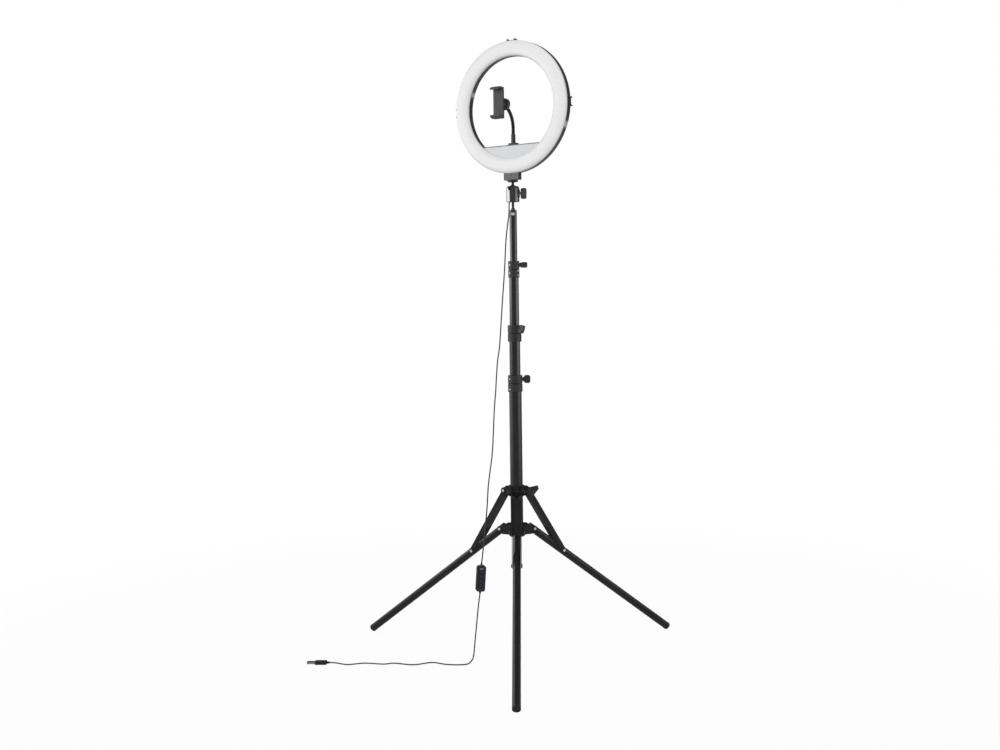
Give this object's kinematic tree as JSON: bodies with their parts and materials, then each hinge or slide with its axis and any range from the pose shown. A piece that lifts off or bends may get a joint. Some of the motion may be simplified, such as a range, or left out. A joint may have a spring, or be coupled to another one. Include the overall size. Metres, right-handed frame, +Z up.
{
  "type": "ring light on floor stand",
  "caption": "Ring light with a domed white diffuser, gooseneck phone clamp and ball head on a telescoping mast with folding braced tripod legs and a corded push-button controller.",
  "frame": {"origin": "on the floor, under the mast axis", "axes": "+Z up along the mast; -Y is the way the ring faces at rest; +X to the ring's right as seen from in front of the diffuser"},
  "size_m": [0.6668, 0.7523, 1.4223],
  "materials": {
    "housing": "glossy black moulded",
    "opal": "white opal",
    "board": "white coated board",
    "screw": "plated",
    "shoe": "black",
    "plate": "light grey satin",
    "block": "grey",
    "dark_plastic": "black, fine grain",
    "foot_plate": "dark grey",
    "gooseneck": "black flexible metal hose",
    "clamp": "dark grey",
    "head_metal": "black satin",
    "pad": "plain",
    "tube": "black satin",
    "bush": "natural",
    "collar": "black, fine grain",
    "rubber": "black",
    "plug": "black grip with a plated shell",
    "panel": "blue-black",
    "button": "dark grey"
  },
  "bodies": {
    "stand": {"main_tube": "tube", "collar_c": "collar", "lower_spider": "collar", "leg_bolts": "screw", "cable_upper": "rubber", "cable_lower": "rubber", "usb_plug": "plug", "controller_shell": "dark_plastic", "controller_cover": "panel"},
    "leg_1": {"leg_1": "tube", "foot_1": "rubber"},
    "leg_2": {"leg_2": "tube", "foot_2": "rubber"},
    "leg_3": {"leg_3": "tube", "foot_3": "rubber"},
    "spider": {"upper_spider": "collar", "strut_bolts": "screw"},
    "spider_knob": {"spider_knob": "dark_plastic"},
    "strut_1": {"strut_1": "tube"},
    "strut_2": {"strut_2": "tube"},
    "strut_3": {"strut_3": "tube"},
    "mast_2": {"tube_2": "tube", "bush_2": "bush", "collar_b": "collar"},
    "mast_3": {"tube_3": "tube", "bush_3": "bush", "collar_a": "collar"},
    "mast_4": {"tube_4": "tube", "bush_4": "bush", "top_plug": "dark_plastic", "plug_screw": "screw", "head_stud": "screw"},
    "knob_a": {"knob_a": "dark_plastic"},
    "knob_b": {"knob_b": "dark_plastic"},
    "knob_c": {"knob_c": "dark_plastic"},
    "head": {"head_housing": "head_metal", "pressure_pad": "pad"},
    "head_knob": {"head_knob": "dark_plastic"},
    "ball": {"ball_stem": "head_metal"},
    "lock_disc": {"lock_disc": "head_metal"},
    "ring": {"rear_housing": "housing", "diffuser": "opal", "led_board": "board", "housing_screws": "screw", "shoe_top": "shoe", "shoe_left": "shoe", "shoe_right": "shoe", "shelf_plate": "plate", "mount_block": "block", "cable_gland": "dark_plastic", "gooseneck_foot": "foot_plate", "gooseneck": "gooseneck"},
    "phone_socket": {"clamp_socket": "dark_plastic"},
    "lock_nut": {"lock_nut": "dark_plastic"},
    "phone_clamp": {"clamp_back": "clamp"},
    "clamp_jaw": {"clamp_jaw": "clamp"},
    "button_power": {"button_power": "button"},
    "button_mode": {"button_mode": "button"},
    "button_brighter": {"button_brighter": "button"},
    "button_dimmer": {"button_dimmer": "button"}
  },
  "joints": [
    {"name": "leg_1_fold", "type": "hinge", "parent": "stand", "child": "leg_1", "pos_m": [0.02067, -0.03307, 0.294], "axis": [-0.848, -0.5299, 0], "range_deg": [0, 126.5]},
    {"name": "leg_2_fold", "type": "hinge", "parent": "stand", "child": "leg_2", "pos_m": [0.01831, 0.03444, 0.294], "axis": [0.8829, -0.4695, 0], "range_deg": [0, 126.5]},
    {"name": "leg_3_fold", "type": "hinge", "parent": "stand", "child": "leg_3", "pos_m": [-0.03898, -0.00136, 0.294], "axis": [-0.0349, 0.9994, 0], "range_deg": [0, 126.5]},
    {"name": "spider_slide", "type": "slide", "parent": "stand", "child": "spider", "axis": [0, 0, 1], "range_m": [0, 0.1895]},
    {"name": "strut_1_swing", "type": "hinge", "parent": "spider", "child": "strut_1", "pos_m": [0.01378, -0.02205, 0.386], "axis": [0.848, 0.5299, 0], "range_deg": [0, 27.79]},
    {"name": "strut_2_swing", "type": "hinge", "parent": "spider", "child": "strut_2", "pos_m": [0.01221, 0.02296, 0.386], "axis": [-0.8829, 0.4695, 0], "range_deg": [0, 27.79]},
    {"name": "strut_3_swing", "type": "hinge", "parent": "spider", "child": "strut_3", "pos_m": [-0.02598, -0.00091, 0.386], "axis": [0.0349, -0.9994, 0], "range_deg": [0, 27.79]},
    {"name": "spider_knob_turn", "type": "hinge", "parent": "spider", "child": "spider_knob", "pos_m": [0, 0, 0.386], "axis": [0.9994, 0.0349, 0], "range_deg": [0, 360]},
    {"name": "mast_2_slide", "type": "slide", "parent": "stand", "child": "mast_2", "axis": [0, 0, 1], "range_m": [-0.064, 0.19], "deforming": ["cable_upper"]},
    {"name": "mast_3_slide", "type": "slide", "parent": "mast_2", "child": "mast_3", "axis": [0, 0, 1], "range_m": [-0.105, 0.2], "deforming": ["cable_upper"]},
    {"name": "mast_4_slide", "type": "slide", "parent": "mast_3", "child": "mast_4", "axis": [0, 0, 1], "range_m": [-0.1, 0.24], "deforming": ["cable_upper"]},
    {"name": "knob_a_turn", "type": "hinge", "parent": "mast_3", "child": "knob_a", "pos_m": [0, 0, 0.9085], "axis": [0.8387, 0.5446, 0], "range_deg": [0, 360]},
    {"name": "knob_b_turn", "type": "hinge", "parent": "mast_2", "child": "knob_b", "pos_m": [0, 0, 0.761], "axis": [0.9397, -0.342, 0], "range_deg": [0, 360]},
    {"name": "knob_c_turn", "type": "hinge", "parent": "stand", "child": "knob_c", "pos_m": [0, 0, 0.645], "axis": [0.8387, 0.5446, 0], "range_deg": [0, 360]},
    {"name": "head_pan", "type": "hinge", "parent": "mast_4", "child": "head", "pos_m": [0, 0, 1.053], "axis": [0, 0, 1], "range_deg": [-180, 180], "deforming": ["cable_upper"]},
    {"name": "ball_tilt", "type": "hinge", "parent": "head", "child": "ball", "pos_m": [0, 0, 1.082], "axis": [1, 0, 0], "range_deg": [-30, 90], "deforming": ["cable_upper"]},
    {"name": "ring_turn", "type": "hinge", "parent": "ball", "child": "ring", "pos_m": [0, 0, 1.1028], "axis": [0, 0, 1], "range_deg": [-180, 180], "deforming": ["cable_upper"]},
    {"name": "lock_disc_turn", "type": "hinge", "parent": "ball", "child": "lock_disc", "pos_m": [0, 0, 1.1], "axis": [0, 0, 1], "range_deg": [0, 360]},
    {"name": "head_knob_turn", "type": "hinge", "parent": "head", "child": "head_knob", "pos_m": [0, 0, 1.072], "axis": [0.8387, 0.5446, 0], "range_deg": [0, 360]},
    {"name": "phone_tilt", "type": "hinge", "parent": "ring", "child": "phone_socket", "pos_m": [0, -0.02759, 1.27113], "axis": [-1, 0, 0], "range_deg": [0, 60]},
    {"name": "phone_turn", "type": "hinge", "parent": "phone_socket", "child": "phone_clamp", "pos_m": [0, -0.02759, 1.27113], "axis": [0, 1, 0], "range_deg": [-90, 90]},
    {"name": "lock_nut_turn", "type": "hinge", "parent": "phone_socket", "child": "lock_nut", "pos_m": [0, -0.02759, 1.27113], "axis": [0, 1, 0], "range_deg": [0, 360]},
    {"name": "jaw_slide", "type": "slide", "parent": "phone_clamp", "child": "clamp_jaw", "axis": [0, 0, 1], "range_m": [0, 0.025], "stiffness_N_per_m": 120, "springref_m": -0.02},
    {"name": "button_power_press", "type": "slide", "parent": "stand", "child": "button_power", "axis": [-0.7071, 0.7071, 0], "range_m": [0, 0.0008], "stiffness_N_per_m": 300, "springref_m": -0.0005},
    {"name": "button_mode_press", "type": "slide", "parent": "stand", "child": "button_mode", "axis": [-0.7071, 0.7071, 0], "range_m": [0, 0.0008], "stiffness_N_per_m": 300, "springref_m": -0.0005},
    {"name": "button_brighter_press", "type": "slide", "parent": "stand", "child": "button_brighter", "axis": [-0.7071, 0.7071, 0], "range_m": [0, 0.0008], "stiffness_N_per_m": 300, "springref_m": -0.0005},
    {"name": "button_dimmer_press", "type": "slide", "parent": "stand", "child": "button_dimmer", "axis": [-0.7071, 0.7071, 0], "range_m": [0, 0.0008], "stiffness_N_per_m": 300, "springref_m": -0.0005}
  ],
  "couplings": [
    {"joint": "leg_2_fold", "follows": "leg_1_fold", "ratio": 1},
    {"joint": "leg_3_fold", "follows": "leg_1_fold", "ratio": 1},
    {"joint": "spider_slide", "follows": "leg_1_fold", "m_per_rad": 0.085759},
    {"joint": "strut_1_swing", "follows": "leg_1_fold", "ratio": 0.21932},
    {"joint": "strut_2_swing", "follows": "leg_1_fold", "ratio": 0.21932},
    {"joint": "strut_3_swing", "follows": "leg_1_fold", "ratio": 0.21932}
  ]
}
